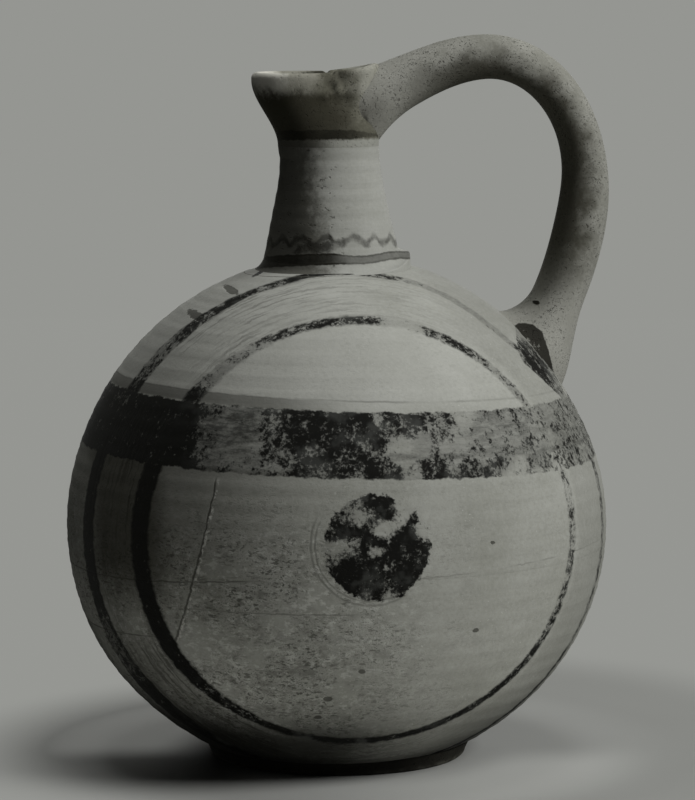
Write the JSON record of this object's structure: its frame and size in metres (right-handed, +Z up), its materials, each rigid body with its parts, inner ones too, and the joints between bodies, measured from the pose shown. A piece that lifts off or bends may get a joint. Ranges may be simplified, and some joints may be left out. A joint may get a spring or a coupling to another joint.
{
  "type": "jug",
  "caption": "Earthenware pouring jug with a globe body on a low ring foot, a leaning neck, a pinched mouth, a high coil handle and worn dark painted rings and bands.",
  "frame": {"origin": "middle of the standing ring, on the surface that the jug stands on", "axes": "+Z is up along the body's axis, +X points to the handle, -X to the spout, and -Y and +Y are the painted flanks"},
  "size_m": [0.1857, 0.1836, 0.2469],
  "materials": {
    "foot_clay": "matt unglazed, worn",
    "painted_slip": "matt slip with dark matt paint, worn",
    "neck_slip": "matt slip with dark matt paint, worn",
    "mouth_clay": "matt unglazed, soiled",
    "handle_clay": "matt unglazed, soiled and pitted"
  },
  "bodies": {
    "root": {"foot_ring": "foot_clay", "lower_body": "painted_slip", "upper_body": "painted_slip", "neck": "neck_slip", "neck_collar": "neck_slip", "pinched_mouth": "mouth_clay", "handle": "handle_clay"}
  },
  "joints": []
}
